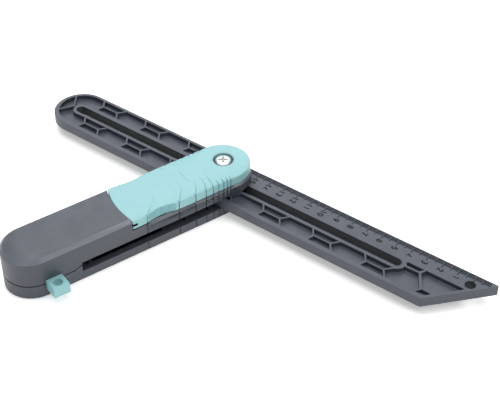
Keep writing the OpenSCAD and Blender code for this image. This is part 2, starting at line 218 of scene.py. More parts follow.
# ---------------------------------------------------------------- blade
# Millimetres. u is the scale reading, y the side position from the centre line (scale edge at HALF).
BLADE_W, BLADE_Z0, BLADE_Z1 = 34.8, 6.45, 12.55
PIVOT_U = 165.6
TURN = radians(72.3)
HALF = BLADE_W / 2
ROUND_U = 283.2
SLOT_U, SLOT_R, SLOT_LEDGE, SLOT_RIM = 42.2, 3.15, 0.4, 5.4
HOLE_R, HOLE_V = 3.1, 8.7
# The slanted tip: scale zero to its sharp point and to its other corner, and the radius of each.
TIP_OVER, TIP_BACK, TIP_R, CORNER_R = 14.3, 16.2, 0.9, 2
# The scale edge stands this much prouder than the part's.
EDGE_OUT = 0.2
# Two rows of pockets: centre line, half height and first rib node of each, then the pattern they share.
NEAR_Y, NEAR_H, FAR_Y, FAR_H = -9.6, 4.6, 10.9, 4.7
CELL, NEAR_A, FAR_A, NODE_LEN, NODE_GAP = 35.85, 56.5, 58.6, 11.8, 0.7
RIB, ARM, ARM_LOW = 1.1, 4 / 5.5, 0.3
LAST_CELL, FAR_FIRST = 6, 4
BAND_TO = 170
POCKET_TOP, POCKET_BOTTOM, LEDGE_UP = 3.0, 1.4, 1.2
EASE, FILLET, FILLET_UP = 0.12, 0.45, 0.3
# Graduations from the tip to the pivot's side, and the reach of their band from the scale edge.
FIRST_MARK, LAST_MARK, MARK_BAND = -9, 167, 6.2
# Half width, start and end of a graduation from the scale edge. The long ones sit a little towards the tip.
MM_TICK, FIVE_TICK, TEN_TICK, LONG_SHIFT = (0.33, 0.2, 3.8), (0.27, 0.2, 4.9), (0.27, 0.2, 5.9), 0.2
# The figures lie across the blade: they read away from the scale edge, with their heads to the tip.
FIGURE_V, FIGURE_WIDE, FIGURE_TALL, FIGURE_PITCH, PEN, FIGURE_DEPTH = 8.25, 2.0, 2.1, 3.0, 0.8, 0.25
LAST_FIGURE = 16
# Material numbers on the blade: the darker marks, and the painted shade of the walls.
MARK_TINT, WALL_SHADE = 1, 2


def on_blade(u, y, z):
    """Scale reading, side position and height on the blade to metres in the CAD frame."""
    x = PIVOT_U - u
    return ((x * cos(TURN) + y * sin(TURN)) * MM, (y * cos(TURN) - x * sin(TURN)) * MM, z * MM)


def long_cell(a, b, y, h):
    """Six-sided pocket between two rib nodes."""
    s = RIB * 0.62
    return [(a + s, y), (a + s + ARM * h, y + h), (b - s - ARM * h, y + h), (b - s, y),
            (b - s - ARM * h, y - h), (a + s + ARM_LOW * h, y - h)]


def short_cell(b, a, y, h, side):
    """Four-sided pocket between the two arms of a rib node, on one side of its centre rib."""
    s, e, q = RIB * 0.62, RIB / 2, ARM if side > 0 else ARM_LOW
    return [(b + s - ARM * e, y + side * e), (b + s - ARM * h, y + side * h),
            (a - s + q * h, y + side * h), (a - s + q * e, y + side * e)]


def blade_pockets():
    """Outlines of all pockets: the repeated ones, then those beside the band, the round end and the tip."""
    out = []
    for a0, y, h, k0 in ((NEAR_A, NEAR_Y, NEAR_H, 0), (FAR_A, FAR_Y, FAR_H, FAR_FIRST)):
        out += [long_cell(a0 + k * CELL, a0 + (k + 1) * CELL - NODE_LEN, y, h) for k in range(k0, LAST_CELL)]
        out += [short_cell(a0 + k * CELL - NODE_LEN, a0 + k * CELL, y, h, s)
                for k in range(k0, LAST_CELL + 1) for s in (-1, 1)]
    near_6, far_6 = NEAR_A + LAST_CELL * CELL + NODE_GAP, FAR_A + LAST_CELL * CELL + NODE_GAP
    far_4 = FAR_A + FAR_FIRST * CELL - NODE_LEN
    oy, q = (FAR_Y + FAR_H + NEAR_Y - NEAR_H) / 2, (FAR_Y + FAR_H - NEAR_Y + NEAR_H) / 2
    out.append([(BAND_TO + 1, FAR_Y + FAR_H), (BAND_TO + 1, FAR_Y - FAR_H),
                (far_4 - NODE_GAP - ARM * FAR_H, FAR_Y - FAR_H), (far_4 - NODE_GAP, FAR_Y),
                (far_4 - NODE_GAP - ARM * FAR_H, FAR_Y + FAR_H)])
    out.append([(near_6, NEAR_Y), (near_6 + ARM * NEAR_H, NEAR_Y + NEAR_H)]
               + circle(ROUND_U, 0, SLOT_RIM, 8, -90, -4) + [(ROUND_U + 6.1, -0.1)]
               + circle(ROUND_U, oy, q, 12, -39, -90) + [(near_6 + ARM_LOW * NEAR_H, NEAR_Y - NEAR_H)])
    out.append([(ROUND_U + 7.2, 0.3)] + circle(ROUND_U, oy, q, 14, -34.5, 29.7))
    out.append([(far_6, FAR_Y), (far_6 + ARM_LOW * FAR_H, FAR_Y - FAR_H)]
               + circle(ROUND_U, 0, SLOT_RIM, 8, 90, 6) + [(ROUND_U + 6.2, 0.8)]
               + circle(ROUND_U, oy, q, 12, 34.2, 90) + [(far_6 + ARM * FAR_H, FAR_Y + FAR_H)])
    end = NEAR_A - NODE_LEN - NODE_GAP
    out.append([(end, NEAR_Y + 0.1)] + circle(SLOT_U, 0, SLOT_RIM + 0.2, 6, 252, 185)
               + [(27.6, -0.2), (21.2, -10.3), (22.6, NEAR_Y - NEAR_H),
                  (end - ARM * NEAR_H, NEAR_Y - NEAR_H)])
    out.append([(19.6, -10.4), (13.6, -10.6), (16, -13.5), (21.6, -13.9)])
    out.append([(37.4, 3), (36.8, 3.8), (26.3, 3.8), (28.2, 1), (35.9, 1)])
    out.append([(26.2, 0.5), (25, 3.9), (1, 3.9), (2.4, 1.7), (13.6, -9.8), (19.9, -9.1)])
    return out


# Strokes of the scale's figures in a box 0..1 wide and 0..1.6 high; "o" rows are rings.
FIGURES = {
    "0": [("o", 0.5, 0.8, 0.5, 0.8)],
    "1": [[(0.18, 1.2), (0.56, 1.6), (0.56, 0)]],
    "2": [[(0.02, 1.2), (0.14, 1.48), (0.45, 1.6), (0.8, 1.48), (0.92, 1.18), (0.75, 0.85), (0.02, 0.05),
           (1, 0.05)]],
    "3": [[(0.05, 1.5), (0.5, 1.6), (0.88, 1.4), (0.85, 1.02), (0.42, 0.86)],
          [(0.42, 0.86), (0.9, 0.68), (0.95, 0.3), (0.6, 0.02), (0.02, 0.1)]],
    "4": [[(0.74, 0), (0.74, 1.6), (0.02, 0.45), (1, 0.45)]],
    "5": [[(0.9, 1.55), (0.2, 1.55), (0.12, 0.88), (0.5, 1.0), (0.88, 0.8), (0.95, 0.42), (0.65, 0.06),
           (0.05, 0.08)]],
    "6": [("o", 0.5, 0.5, 0.45, 0.48), [(0.78, 1.56), (0.36, 1.3), (0.1, 0.62)]],
    "7": [[(0.02, 1.55), (0.96, 1.55), (0.36, 0)]],
    "8": [("o", 0.5, 1.2, 0.38, 0.38), ("o", 0.5, 0.42, 0.46, 0.44)],
    "9": [("o", 0.5, 1.1, 0.45, 0.48), [(0.22, 0.04), (0.64, 0.3), (0.9, 0.98)]],
}


def stroke(points, width):
    """Closed outline of a line of that width."""
    a = np.array(points, float)
    left, right = [], []
    for i in range(len(a)):
        e0 = a[i] - a[i - 1] if i else a[1] - a[0]
        e1 = a[i + 1] - a[i] if i < len(a) - 1 else e0
        n = np.array((-e0[1], e0[0])) / np.hypot(*e0) + np.array((-e1[1], e1[0])) / np.hypot(*e1)
        n = n / np.hypot(*n) * min(1.5, 2 / np.hypot(*n)) * width / 2
        left.append(tuple(a[i] + n))
        right.append(tuple(a[i] - n))
    return left + right[::-1]


def figure(c, u0, v0):
    """One figure, its foot at reading u0 and its side v0 from the scale edge: loops to fill and leave."""
    fill, leave = [], []

    def put(a, b):
        return (u0 - FIGURE_TALL * b, HALF - v0 - FIGURE_WIDE * a)

    for part in FIGURES[c]:
        if part[0] == "o":
            _, cx, cy, rx, ry = part
            for grow, group in ((PEN / 2, fill), (-PEN / 2, leave)):
                group.append([put(cx + (rx + grow / FIGURE_WIDE) * cos(radians(a)),
                                  cy + (ry + grow / FIGURE_TALL) * sin(radians(a)))
                              for a in range(0, 360, 24)])
        else:
            fill.append(stroke([put(*q) for q in part], PEN))
    return fill, leave


def scale_marks():
    """Recessed graduations and figures: loops to fill and loops to leave out of them."""
    fill, leave = [], []

    def tick(u, half_width, v0, v1):
        fill.append([(u - half_width, HALF - v0), (u + half_width, HALF - v0),
                     (u + half_width, HALF - v1), (u - half_width, HALF - v1)])

    for u in range(FIRST_MARK, LAST_MARK + 1):
        if u % 5:
            tick(u, *MM_TICK)
        else:
            tick(u - LONG_SHIFT, *(FIVE_TICK if u % 10 else TEN_TICK))
    for n in range(1, LAST_FIGURE + 1):
        word = str(n)
        for i, c in enumerate(word):
            v0 = FIGURE_V + (i - (len(word) - 1) / 2) * FIGURE_PITCH - FIGURE_WIDE / 2
            more_fill, more_leave = figure(c, n * 10 - 0.6 + FIGURE_TALL * 0.8, v0)
            fill += more_fill
            leave += more_leave
    return fill, leave


def blade_outline():
    """Blunted sharp tip, rounded corner at the plain edge, then the round end."""
    run, top_y = TIP_BACK + TIP_OVER, HALF + EDGE_OUT
    slant = degrees(atan2(BLADE_W, run))
    tip_u = -TIP_OVER + TIP_R / tan(radians(slant) / 2)
    tip = circle(tip_u, top_y - TIP_R, TIP_R, 8, 90, 270 - slant)
    nx, ny = BLADE_W / hypot(run, BLADE_W), run / hypot(run, BLADE_W)
    corner = circle(TIP_BACK + CORNER_R * (1 - ny) / nx, -HALF + CORNER_R, CORNER_R, 6,
                    180 + degrees(atan2(ny, nx)), 270)
    arc = [(u, y + EDGE_OUT * max(y, 0) / HALF) for u, y in circle(ROUND_U, 0, HALF, 48, -90, 90)]
    return tip + corner + arc


def inside_any(loops, p):
    hit = np.zeros(len(p), bool)
    for loop in loops:
        hit |= inside(loop, p)
    return hit


def tint_walls(ob):
    """The walls of the slot and the hole take a darker material than the other faces: painted shade."""
    for f in ob.data.polygons:
        x, y = f.center.x / MM, f.center.y / MM
        u, w = PIVOT_U - x * cos(TURN) + y * sin(TURN), x * sin(TURN) + y * cos(TURN)
        in_hole = hypot(u, w - HALF + HOLE_V) < HOLE_R + 0.05
        in_slot = abs(w) < SLOT_R + 0.05 and u > SLOT_U - 4
        if abs(f.normal.z) < 0.4 and (in_hole or in_slot):
            f.material_index = WALL_SHADE


def make_blade():
    outline = blade_outline()
    slot, slot_foot = (circle(SLOT_U, 0, r, 20, 90, 270) + circle(ROUND_U, 0, r, 20, -90, 90)
                       for r in (SLOT_R, SLOT_R - SLOT_LEDGE))
    hole = circle(0, HALF - HOLE_V, HOLE_R, 40)
    pockets = blade_pockets()
    fill, leave = scale_marks()
    rings = [offset(outline, -EASE), offset(hole, EASE)]
    rings += [offset(q, EASE) for q in pockets]
    sole = [offset(q, -FILLET) for q in pockets]
    co, faces = plan([outline, slot, slot_foot, hole] + pockets + rings + sole + fill + leave)
    mid = co[np.array(faces)].mean(1)
    in_slot = inside(slot, mid)
    land, pocket, mark, ledge = 1, 2, 3, 4
    region = np.where(inside(outline, mid) & ~in_slot & ~inside(hole, mid), land, 0)
    region[(region == land) & inside_any(pockets, mid)] = pocket
    region[(region == land) & inside_any(fill, mid) & ~inside_any(leave, mid)] = mark
    region[in_slot & ~inside(slot_foot, mid)] = ledge
    pocket_gap = distance(pockets, co)
    face_z = BLADE_Z1 - np.maximum(EASE - distance([outline, hole], co), 0) - np.maximum(EASE - pocket_gap, 0)
    # The floors of the pockets meet their walls in a small fillet.
    floor_z = BLADE_Z1 - POCKET_TOP + FILLET_UP * np.clip(1 - pocket_gap / FILLET, 0, 1) ** 2
    under_z = BLADE_Z0 + np.maximum(EASE - distance([outline], co), 0)
    # Graduations get deeper away from the edge, the figures keep one depth.
    v = HALF - co[:, 1]
    mark_z = BLADE_Z1 - np.where(v < MARK_BAND, 0.15 + 0.1 * np.clip(v, 0, MM_TICK[2]), FIGURE_DEPTH)
    flat = np.ones(len(co))
    top = {land: ("land", face_z), pocket: ("pocket", floor_z), mark: ("mark", mark_z),
           ledge: ("ledge", flat * (BLADE_Z0 + LEDGE_UP))}
    bottom = {r: ("land", under_z) for r in (land, mark, ledge)}
    bottom[pocket] = ("pocket", flat * (BLADE_Z0 + POCKET_BOTTOM))
    # The marks take the darker second material; the slot's ledge takes the third, painted shade.
    ob = relief("slotted_blade", co, faces, region, top, bottom, on_blade,
                tint={mark: MARK_TINT, ledge: WALL_SHADE})
    tint_walls(ob)
    return soft_shade(ob, 40)


# ---------------------------------------------------------------- lever
# Millimetres in the CAD frame. LEVER_W is half the lever's width, so also the radius of its nose.
LEVER_W, LEVER_Z0, LEVER_TOP, NOSE_X = 17.0, 20.5, 27.5, 0.9
ARC_R, ARC_X, ARC_Y = 45.0, -30.0, -4.0
RECESS_R, RECESS_Z, BORE_R = 6.2, 24.1, 2.58
# Underside: four pockets in a row, and a ring-shaped well round the hub with three clamping pads in it.
CORE_X, CORE_LEN, CORE_HALF, CORE_Z = (-66.5, -53.3, -40.1, -26.9), 11.6, 10.8, 24.6
WELL_R, HUB_R, WELL_Z = 12.2, 3.8, 21.2
PAD_R0, PAD_R1, PAD_SPAN, PAD_Z = 4.2, 11.8, 34, 20.6
END_GROOVE, END_GROOVE_Z0, END_GROOVE_Z1 = 3.0, 22.3, 23.95
# Height of the top against the distance from the straight side or the nose.
PROFILE = ((0, 25.5), (0.12, 25.7), (0.35, 25.86), (0.7, 26.0), (1.2, 26.2), (1.8, 26.36), (2.6, 26.5),
           (4, 26.78), (6, 27.05), (9, 27.3), (17, LEVER_TOP))
GROOVE_D, GROOVE_HALF = 0.85, 0.42
GROOVE_X = (-63.9, -42.2, -30.8, -23.5, -18.4, -14.6, -11.1, -8.4, -6.1)
# Widths of the eased edges: outline's foot, outline's top and mouth of the screw recess.
FOOT_EASE, TOP_EASE, MOUTH_EASE = 0.14, 0.34, 0.8
LINE_HALF, NEAR_STRENGTH, FAR_STRENGTH = 0.38, 1.9, 1.0
# Fine lines that run in over the top from the side grooves: points, then depth at the ends.
TOP_LINES = (
    ([(-63.9, -17.2), (-58.4, -12), (-54.4, -8.8), (-53.4, -3.4)], 0.30, 0.05),
    ([(-42.2, -17.2), (-37.8, -12), (-35.4, -9.3), (-34.9, -2.7)], 0.34, 0.05),
    ([(-30.8, -17.2), (-27.1, -11.6), (-25.4, -6)], 0.38, 0.05),
    ([(-23.5, -17.2), (-21.7, -12.6), (-20.7, -4.1)], 0.38, 0.06),
    ([(-18.4, -17.2), (-17.4, -9.9), (-17.4, -4.1)], 0.38, 0.06),
    ([(-14.6, -17.2), (-14.4, -13.6)], 0.42, 0.2),
    ([(-11.1, -17.2), (-11.0, -14.2)], 0.42, 0.2),
    ([(-8.4, -17.2), (-8.3, -14.4)], 0.42, 0.2),
    ([(-6.1, -17.2), (-6.0, -14.6)], 0.42, 0.2),
    ([(-63.9, 17.2), (-58.8, 15.9), (-54.3, 14.2), (-52, 10.3), (-53.3, 6.1)], 0.26, 0.05),
    ([(-42.2, 17.2), (-35.9, 15.9), (-34.3, 13), (-35.5, 6.8)], 0.30, 0.05),
    ([(-30.8, 17.2), (-27.6, 14.8), (-27.0, 8.5)], 0.32, 0.05),
    ([(-23.5, 17.2), (-21.4, 13.6), (-21.9, 8.4)], 0.32, 0.05),
    ([(-18.4, 17.2), (-17.6, 9.6)], 0.32, 0.05),
    ([(-14.6, 17.2), (-14.4, 13.6)], 0.36, 0.2),
    ([(-11.1, 17.2), (-11.0, 14.2)], 0.36, 0.2),
    ([(-8.4, 17.2), (-8.3, 14.4)], 0.36, 0.2),
    ([(-6.1, 17.2), (-6.0, 14.6)], 0.36, 0.2),
    ([(-65, 12.6), (-66.4, 4.7), (-66.6, -2), (-65.9, -6.7), (-64.9, -9.6)], 0.16, 0.05),
)
SCOOP_X, SCOOP_R, SCOOP_DEPTH, SCOOP_HALF = -54.0, 30.0, 2.1, 12
RIB_PITCH, RIB_DEPTH = 1.35, 0.7


def scoop_cut(x):
    """How far the thumb scoop reaches in from the straight side at x, with its fine upright ribs."""
    cut = np.sqrt(SCOOP_R ** 2 - np.clip(np.abs(x - SCOOP_X), 0, SCOOP_HALF) ** 2) - (SCOOP_R - SCOOP_DEPTH)
    ribs = RIB_DEPTH * np.abs(np.sin(pi * (x - SCOOP_X) / RIB_PITCH))
    return np.where(cut > 0, cut - ribs * np.clip(cut / 0.8, 0, 1), 0)


def fine_lines():
    """The lines over the top, densely sampled, with a depth at each point."""
    out = []
    for pts, d0, d1 in TOP_LINES:
        a = np.array(pts, float)
        seg = np.hypot(*np.diff(a, axis=0).T)
        s = np.concatenate([[0], np.cumsum(seg)])
        n = max(3, int(s[-1] / 1.2))
        at = np.linspace(0, s[-1], n + 1)
        p = np.stack([np.interp(at, s, a[:, 0]), np.interp(at, s, a[:, 1])], 1)
        # One smoothing pass rounds the bends.
        p[1:-1] = (p[:-2] + 2 * p[1:-1] + p[2:]) / 4
        strength = NEAR_STRENGTH if a[0][1] < 0 else FAR_STRENGTH
        out.append((p, strength * (d0 + (d1 - d0) * (at / s[-1]) ** 0.6)))
    return out


def line_depth(p, lines):
    """How deep the lines over the top cut at each point."""
    best = np.zeros(len(p))
    for pts, depth in lines:
        for (a, b, da, db) in zip(pts[:-1], pts[1:], depth[:-1], depth[1:]):
            e = b - a
            t = np.clip(((p - a) @ e) / (e @ e), 0, 1)
            d = np.hypot(*(p - a - t[:, None] * e).T) / LINE_HALF
            best = np.maximum(best, (da + (db - da) * t) * np.clip(1 - d * d, 0, 1))
    return best


def end_x(y):
    """The curved end of the lever at y."""
    return ARC_X - sqrt(ARC_R ** 2 - (y - ARC_Y) ** 2)


def lever_outline(inset=0.0):
    """Outline that far inside the sides, with its grooves and scoops."""
    stations = set(np.round(np.arange(-64.8, -43.2, RIB_PITCH / 6), 4)) | {-71.5, -69.8, -67.5, -3.0, -NOSE_X}
    for g in GROOVE_X:
        stations |= {round(g + k * GROOVE_HALF, 4) for k in (-1.03, -1, -0.5, 0, 0.5, 1, 1.03)}
    xs = np.array(sorted(stations))
    notch = np.zeros(len(xs))
    for g in GROOVE_X:
        notch = np.maximum(notch, np.where(np.abs(xs - g) < GROOVE_HALF * 1.015, GROOVE_D, 0))
    reach = LEVER_W - inset - np.maximum(scoop_cut(xs), notch)
    ys = np.linspace(LEVER_W - inset, -LEVER_W + inset, 29)
    arc = [(end_x(y) + inset, y) for y in ys]
    near = [(x, -y) for x, y in zip(xs, reach) if x > arc[-1][0] + END_GROOVE]
    far = [(x, y) for x, y in zip(xs, reach) if x > arc[0][0] + END_GROOVE][::-1]
    nose = circle(-NOSE_X, 0, LEVER_W - inset, 56, -90, 90)[1:-1]
    return arc + near + nose + far


def lever_guides(lines):
    """Lines that the lever's mesh follows: eased edges, the steps of its top's profile and the fine lines."""
    guides = [[tuple(q) for q in lever_outline(inset)] for inset in (FOOT_EASE, TOP_EASE)]
    guides = [g + g[:1] for g in guides]
    for d, _ in PROFILE[3:-1]:
        r = LEVER_W - d
        guides.append([(end_x(-r) + 0.5, -r)] + [(x, -r) for x in np.arange(-70, -1.5, 2.0)]
                      + circle(-NOSE_X, 0, r, 40, -90, 90) + [(x, r) for x in np.arange(-2, -69, -2.0)]
                      + [(end_x(r) + 0.5, r)])
    for q, _ in lines:
        n = np.gradient(q, axis=0)
        n = np.stack([-n[:, 1], n[:, 0]], 1) / np.hypot(*n.T)[:, None]
        guides += [[tuple(s) for s in q + n * k * LINE_HALF] for k in (-1, -0.5, 0, 0.5, 1)]
    return guides


def lever_top(co, lines, rim_gap):
    """Height of the lever's top: side profile, fine lines, eased rim and eased mouth of the screw recess."""
    x, y = co.T
    side = np.where(x < -NOSE_X, LEVER_W - np.abs(y), LEVER_W - np.hypot(x + NOSE_X, y))
    height = np.interp(side, *zip(*PROFILE))
    height -= line_depth(co, lines) * (1 + 0.6 * np.clip(1 - side / 1.2, 0, 1))
    cut_in = (side > 0.6) | (x < end_x(0) + 4)
    height -= np.where(cut_in, 0.3 * np.clip(1 - rim_gap / TOP_EASE, 0, 1) ** 1.6, 0)
    return height - 0.5 * np.clip(1 - (np.hypot(x, y) - RECESS_R) / MOUTH_EASE, 0, 1) ** 1.6


def end_groove_rows(co):
    """Rows of the groove in the curved end, which takes the rib of the handle."""
    rows = {}
    for i, (x, y) in enumerate(co):
        r = hypot(x - ARC_X, y - ARC_Y)
        if abs(r - ARC_R) < 0.02 and x < -60:
            if LEVER_W - abs(y) < 0.02:
                dx, dy = END_GROOVE - 0.1, 0
            else:
                dx, dy = (ARC_X - x) / r * END_GROOVE, (ARC_Y - y) / r * END_GROOVE
            rows[i] = [(0, 0, END_GROOVE_Z1), (dx, dy, END_GROOVE_Z1),
                       (dx, dy, END_GROOVE_Z0), (0, 0, END_GROOVE_Z0)]
    return rows


def make_lever():
    outline, lines = lever_outline(), fine_lines()
    recess, bore = circle(0, 0, RECESS_R, 56), circle(0, 0, BORE_R, 32)
    rim = [circle(0, 0, RECESS_R + k, 56) for k in (0.2, 0.45, MOUTH_EASE)]
    cores = [[(x, -CORE_HALF), (x + CORE_LEN, -CORE_HALF), (x + CORE_LEN, CORE_HALF), (x, CORE_HALF)]
             for x in CORE_X]
    well, hub = circle(0, 0, WELL_R, 56), circle(0, 0, HUB_R, 32)
    pads = [circle(0, 0, PAD_R1, 14, a - PAD_SPAN, a + PAD_SPAN)
            + circle(0, 0, PAD_R0, 8, a + PAD_SPAN, a - PAD_SPAN) for a in (60, 180, 300)]
    grid = [(x, y) for x in np.arange(-70, 12, 2.6) for y in np.arange(-9, 9.1, 2.25)
            if 7.5 < hypot(x, y) and (x < 0 or hypot(x, y) < 12)]
    co, faces = plan([outline, recess, bore, well, hub] + rim + cores + pads, lever_guides(lines), grid)
    mid = co[np.array(faces)].mean(1)
    # Four kinds of underside, and the same four again where the top is the floor of the screw recess.
    rib, core, ring, pad = 1, 2, 3, 4
    under_recess = 4
    region = np.where(inside(outline, mid) & ~inside(bore, mid), rib, 0)
    region[(region > 0) & inside_any(cores, mid)] = core
    in_ring = (region > 0) & inside(well, mid) & ~inside(hub, mid)
    region[in_ring] = ring
    region[in_ring & inside_any(pads, mid)] = pad
    region[(region > 0) & inside(recess, mid)] += under_recess
    rim_gap = distance([outline], co)
    height = lever_top(co, lines, rim_gap)
    flat = np.ones(len(co))
    lower_edge = 0.15 * np.clip(1 - rim_gap / FOOT_EASE, 0, 1)
    top, bottom = {}, {}
    for r, z in ((rib, LEVER_Z0), (core, CORE_Z), (ring, WELL_Z), (pad, PAD_Z)):
        for add in (0, under_recess):
            bottom[r + add] = ("b%d" % r, flat * z + (lower_edge if r == rib else 0))
            top[r + add] = (("recess", flat * RECESS_Z) if add else ("top", height))
    # The groove's inner rows take the near-black second material: painted shade.
    ob = relief("swing_lever", co, faces, region, top, bottom, world_mm,
                steps=end_groove_rows(co), step_tint=1)
    return soft_shade(ob, 42)


# ---------------------------------------------------------------- screw
SEAT_Z, HEAD_R, HEAD_SIDE, HEAD_H = RECESS_Z + 0.9, 5.2, 0.9, 2.3
SHANK_R, SHANK_Z, THREAD_TOP, THREAD_PITCH = 2.5, 2.0, 5.0, 0.5


def cross_recess():
    """Star outline of the cross recess, its arms at 55 degrees and every quarter turn."""
    out = []
    for k in range(4):
        a = radians(55 + 90 * k)
        out += [(r * cos(a + da), r * sin(a + da)) for da, r in ((-0.16, 2.9), (0.16, 2.9), (0.785, 0.85))]
    return out


def add_shank(ob):
    """Shank under the head, with rolled threads where it sits in the nut and a chamfered end."""
    bm = bmesh.new()
    bm.from_mesh(ob.data)
    rows = [(SHANK_R, SEAT_Z - 0.002), (SHANK_R, SHANK_Z)]
    z = THREAD_TOP
    while z > SHANK_Z:
        rows[-1:-1] = [(SHANK_R, z), (2.32, z - 0.2), (2.32, z - 0.3)]
        z -= THREAD_PITCH
    rows += [(2.2, 1.65), (1.9, 1.45), (0.0, 1.42)]
    n = 40
    loops = [[bm.verts.new((q * cos(2 * pi * i / n) * MM, q * sin(2 * pi * i / n) * MM, h * MM))
              for i in range(n)] for q, h in rows[:-1]]
    tip = bm.verts.new((0, 0, rows[-1][1] * MM))
    cap = bm.verts.new((0, 0, rows[0][1] * MM))
    for i in range(n):
        j = (i + 1) % n
        bm.faces.new((cap, loops[0][i], loops[0][j]))
        for a, b in zip(loops[:-1], loops[1:]):
            bm.faces.new((a[i], b[i], b[j], a[j]))
        bm.faces.new((loops[-1][i], tip, loops[-1][j]))
    bmesh.ops.recalc_face_normals(bm, faces=bm.faces)
    bm.to_mesh(ob.data)
    bm.free()


def make_screw():
    outline, cross, core = circle(0, 0, HEAD_R, 72), cross_recess(), circle(0, 0, 0.55, 16)
    rings = [circle(0, 0, r, 72) for r in (5.13, 5.0, 4.75, 4.4, 3.9, 3.4)] + [offset(cross, 0.16)]
    co, faces = plan([outline, cross, core, offset(cross, -0.2)] + rings)
    mid = co[np.array(faces)].mean(1)
    region = np.where(inside(outline, mid), 1, 0)
    region[inside(cross, mid)] = 2
    r = np.hypot(*co.T)
    dome = (SEAT_Z + HEAD_SIDE
            + (HEAD_H - HEAD_SIDE) * np.sqrt(np.clip(1 - (r / (HEAD_R + 0.02)) ** 3.2, 0, 1)))
    dome -= 0.14 * np.clip(1 - distance([cross], co) / 0.16, 0, 1)
    floor = SEAT_Z + 1.1 + 0.6 * np.clip(r / 2.8, 0, 1)
    seat = ("seat", np.full(len(co), SEAT_Z))
    ob = relief("screw_head", co, faces, region, {1: ("dome", dome), 2: ("cross", floor)},
                {1: seat, 2: seat}, world_mm, tint={2: 1})
    add_shank(ob)
    return soft_shade(ob, 45)


# ---------------------------------------------------------------- copies of CAD solids with eased edges
def eased_copy(node, name, width, wear_and_highlight=None):
    """The node's own solid as a new mesh, merged, with its hard edges rounded over.

    wear_and_highlight: material index of the rounded edges; the slanted faces take the next one, whose paler
    colour is a painted highlight.
    """
    ob = bpy.data.objects.new(name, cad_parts[node].data.copy())
    scene.collection.objects.link(ob)
    bm = bmesh.new()
    bm.from_mesh(ob.data)
    bmesh.ops.remove_doubles(bm, verts=bm.verts, dist=2e-6)
    bmesh.ops.dissolve_limit(bm, angle_limit=radians(1.0), verts=bm.verts, edges=bm.edges)
    bm.to_mesh(ob.data)
    bm.free()
    ob.data.materials.clear()
    m = ob.modifiers.new("ease", "BEVEL")
    m.width = width * MM
    m.segments = 2
    m.limit_method = "ANGLE"
    m.angle_limit = radians(28)
    m.use_clamp_overlap = True
    m.harden_normals = False
    m.miter_outer = "MITER_ARC"
    if wear_and_highlight is not None:
        m.material = wear_and_highlight
        # The slanted faces between top and sides take a paler, glossier material than the rest: a painted
        # highlight.
        for f in ob.data.polygons:
            if 0.3 < f.normal.z < 0.9:
                f.material_index = wear_and_highlight + 1
    return soft_shade(ob, 40)


# Upward part of the normal of the slanted edge, from its width and height in the part.
SLOPE_W, SLOPE_H = 2.0, 2.2
SLOPE_Z = SLOPE_W / hypot(SLOPE_W, SLOPE_H)
# Axes of the two round ends as (x, side they face) and the least radius that counts as their outer wall.
BUTT_X, END_R = -130.0, 13.5
ROUND_ENDS = ((BUTT_X, -1), (0, 1))


def true_rounds(ob):
    """Bake the modifiers, then aim the normals of the round ends straight out from their axes."""
    me = bpy.data.meshes.new_from_object(ob.evaluated_get(bpy.context.evaluated_depsgraph_get()))
    ob.modifiers.clear()
    ob.data = me
    co = np.empty(len(me.vertices) * 3)
    me.vertices.foreach_get("co", co)
    at = np.empty(len(me.loops), int)
    me.loops.foreach_get("vertex_index", at)
    n = np.empty(len(me.loops) * 3)
    me.corner_normals.foreach_get("vector", n)
    co, n = co.reshape(-1, 3)[at] / MM, n.reshape(-1, 3)
    face_n = np.empty(len(me.polygons) * 3)
    me.polygons.foreach_get("normal", face_n)
    count = np.empty(len(me.polygons), int)
    me.polygons.foreach_get("loop_total", count)
    face_z = np.repeat(face_n.reshape(-1, 3)[:, 2], count)
    for cx, side in ROUND_ENDS:
        dx, y = co[:, 0] - cx, co[:, 1]
        r, flat = np.hypot(dx, y) + 1e-9, np.hypot(n[:, 0], n[:, 1]) + 1e-9
        out = (n[:, 0] * dx + n[:, 1] * y) / (r * flat)
        turn = (dx * side > -0.01) & (r > END_R) & (flat > 0.12) & (out > 0.9)
        # Upright and slanted faces take their exact tilt as well.
        for z in (0, SLOPE_Z):
            exact = turn & (np.abs(face_z - z) < 0.06)
            n[exact, 2], flat[exact] = z, sqrt(1 - z * z)
        n[turn, 0], n[turn, 1] = (dx / r * flat)[turn], (y / r * flat)[turn]
    me.normals_split_custom_set(n.tolist())
    return ob


# ---------------------------------------------------------------- materials
def shader(name):
    m = bpy.data.materials.new(name)
    m.use_nodes = True
    return m, m.node_tree, m.node_tree.nodes["Principled BSDF"]


def node(tree, kind, inputs=(), **settings):
    n = tree.nodes.new(kind)
    for k, v in settings.items():
        setattr(n, k, v)
    for k, v in dict(inputs).items():
        if isinstance(v, bpy.types.NodeSocket):
            tree.links.new(v, n.inputs[k])
        else:
            n.inputs[k].default_value = v
    return n


def noise(tree, where, scale, detail=2.0, rough=0.5, stretch=None):
    if stretch:
        where = node(tree, "ShaderNodeMapping", {"Vector": where, "Scale": stretch}).outputs[0]
    return node(tree, "ShaderNodeTexNoise",
                {"Vector": where, "Scale": scale, "Detail": detail, "Roughness": rough}).outputs["Fac"]


def spread(tree, value, lo, hi, to_lo, to_hi):
    return node(tree, "ShaderNodeMapRange", {"Value": value, "From Min": lo, "From Max": hi,
                                             "To Min": to_lo, "To Max": to_hi}).outputs[0]


def blend_colour(tree, factor, a, b):
    n = node(tree, "ShaderNodeMix", data_type="RGBA")
    for socket, v in ((n.inputs[0], factor), (n.inputs[6], a), (n.inputs[7], b)):
        if isinstance(v, bpy.types.NodeSocket):
            tree.links.new(v, socket)
        elif isinstance(v, (int, float)):
            socket.default_value = v
        else:
            socket.default_value = (*v, 1)
    return n.outputs[2]


